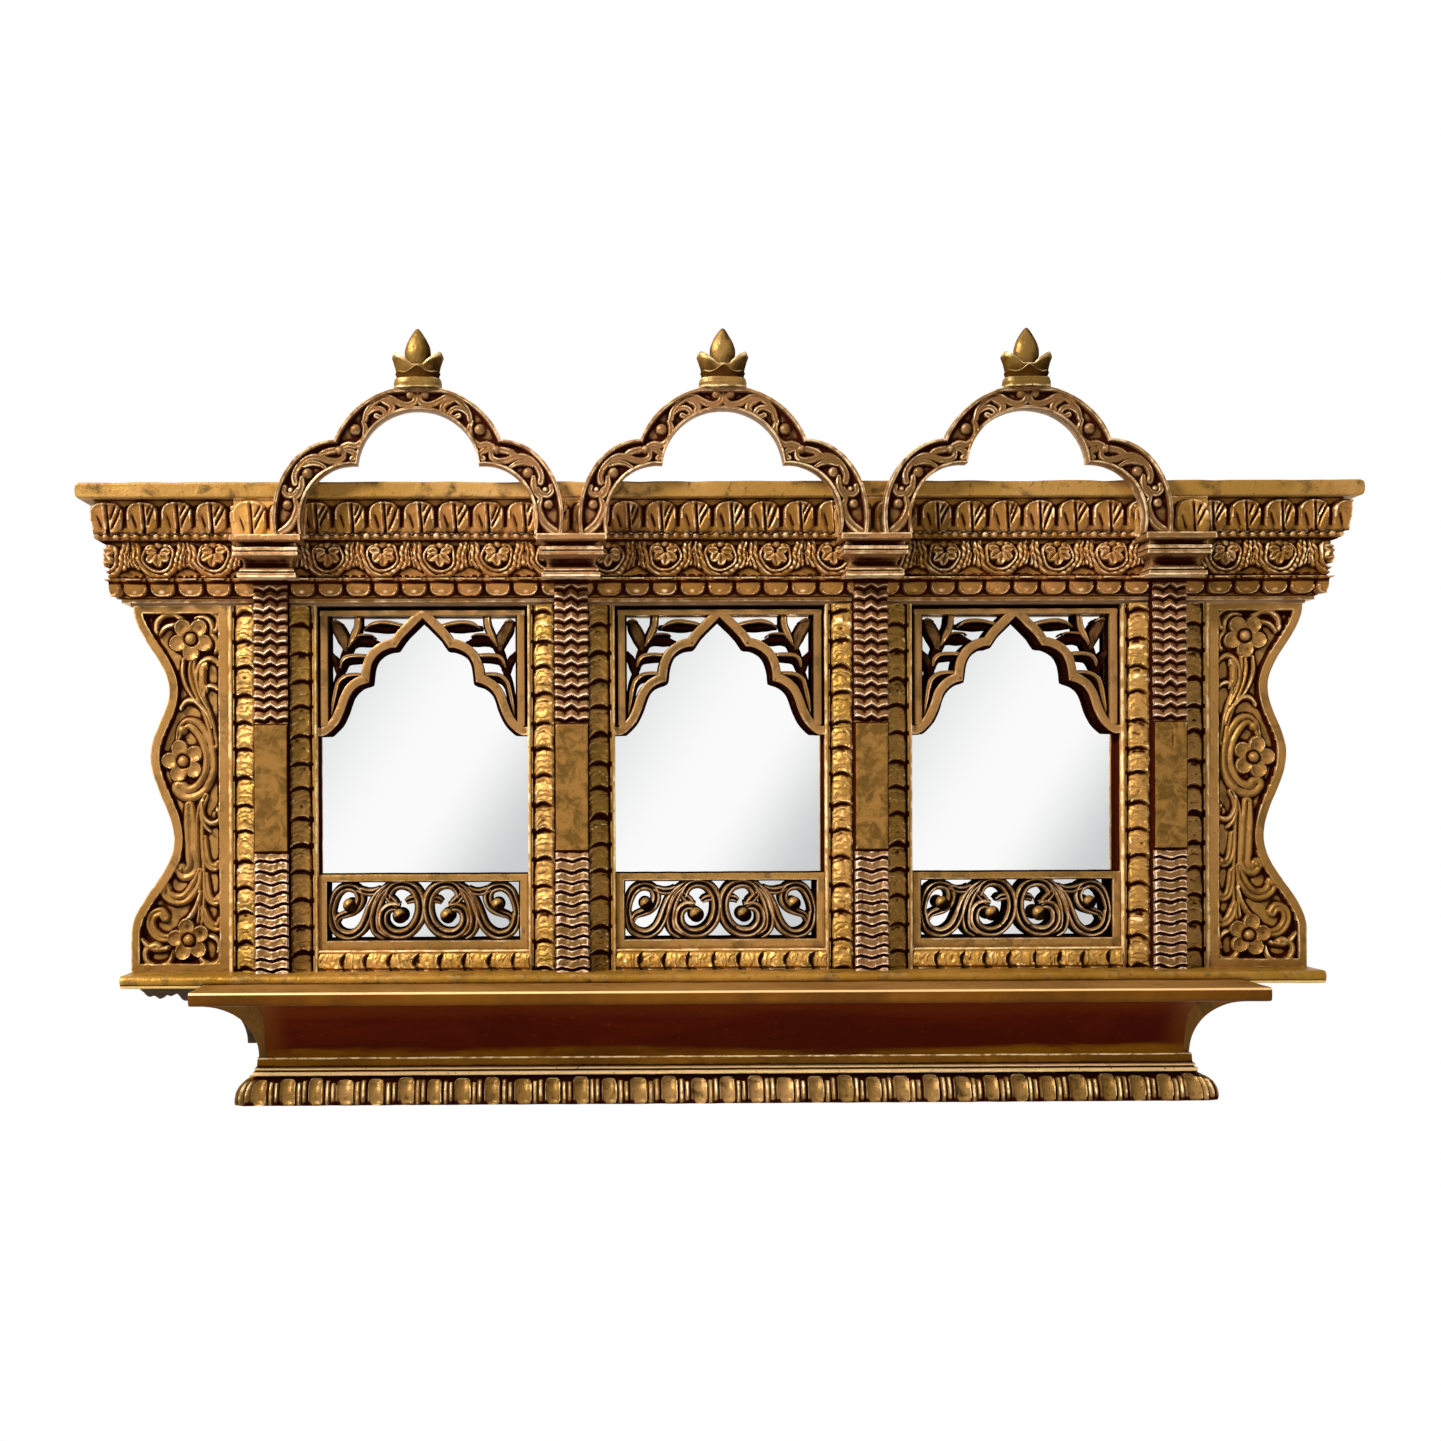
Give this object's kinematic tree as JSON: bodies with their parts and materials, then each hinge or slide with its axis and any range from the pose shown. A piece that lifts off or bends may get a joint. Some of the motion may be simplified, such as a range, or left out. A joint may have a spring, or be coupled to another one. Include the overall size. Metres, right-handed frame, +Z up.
{
  "type": "wall mirror",
  "caption": "Wide gilded carved-wood wall mirror in bays, with cusped arches, pilasters, a deep cornice, scroll brackets and a projecting shelf.",
  "frame": {"origin": "on the wall plane, midway between the centres of the two keyhole plates' round holes", "axes": "+X to the viewer's right along the mirror, +Y into the wall so that the front faces -Y, +Z up"},
  "size_m": [1.221, 0.143, 0.7278],
  "materials": {
    "gilded_wood": "aged gold leaf, rubbed on the edges",
    "shaded_gilding": "dark red-brown under worn gold",
    "bare_wood": "bare, darkened wood",
    "plywood": "plain plywood",
    "silvered_glass": "silvered glass",
    "zinc_plated_steel": "zinc plated"
  },
  "bodies": {
    "root": {"arch_1": "gilded_wood", "arch_2": "gilded_wood", "arch_3": "gilded_wood", "backing_pins": "zinc_plated_steel", "base_board": "bare_wood", "base_moulding": "gilded_wood", "bead_strip": "gilded_wood", "bottom_rail_1": "gilded_wood", "bottom_rail_2": "gilded_wood", "bottom_rail_3": "gilded_wood", "bracket_left": "gilded_wood", "bracket_right": "gilded_wood", "capital_1": "gilded_wood", "capital_2": "gilded_wood", "capital_3": "gilded_wood", "capital_4": "gilded_wood", "dowels": "bare_wood", "finial_1": "gilded_wood", "finial_2": "gilded_wood", "finial_3": "gilded_wood", "flower_frieze": "gilded_wood", "frame_stile_1": "gilded_wood", "frame_stile_2": "gilded_wood", "frame_stile_3": "gilded_wood", "frame_stile_4": "gilded_wood", "hanger_plates": "zinc_plated_steel", "hanger_screws": "zinc_plated_steel", "hollow_moulding": "shaded_gilding", "leaf_block_1": "gilded_wood", "leaf_block_2": "gilded_wood", "leaf_block_3": "gilded_wood", "leaf_block_4": "gilded_wood", "leaf_frieze": "gilded_wood", "mirror_backing_1": "plywood", "mirror_backing_2": "plywood", "mirror_backing_3": "plywood", "mirror_pane_1": "silvered_glass", "mirror_pane_2": "silvered_glass", "mirror_pane_3": "silvered_glass", "pilaster_1": "gilded_wood", "pilaster_2": "gilded_wood", "pilaster_3": "gilded_wood", "pilaster_4": "gilded_wood", "scallop_moulding": "gilded_wood", "scroll_panel_1": "gilded_wood", "scroll_panel_2": "gilded_wood", "scroll_panel_3": "gilded_wood", "shelf": "gilded_wood", "shelf_backboard": "bare_wood", "sill_board": "gilded_wood", "spandrel_panel_1": "gilded_wood", "spandrel_panel_2": "gilded_wood", "spandrel_panel_3": "gilded_wood", "top_board": "gilded_wood", "top_rail": "gilded_wood", "wing_left": "gilded_wood", "wing_right": "gilded_wood"}
  },
  "joints": []
}
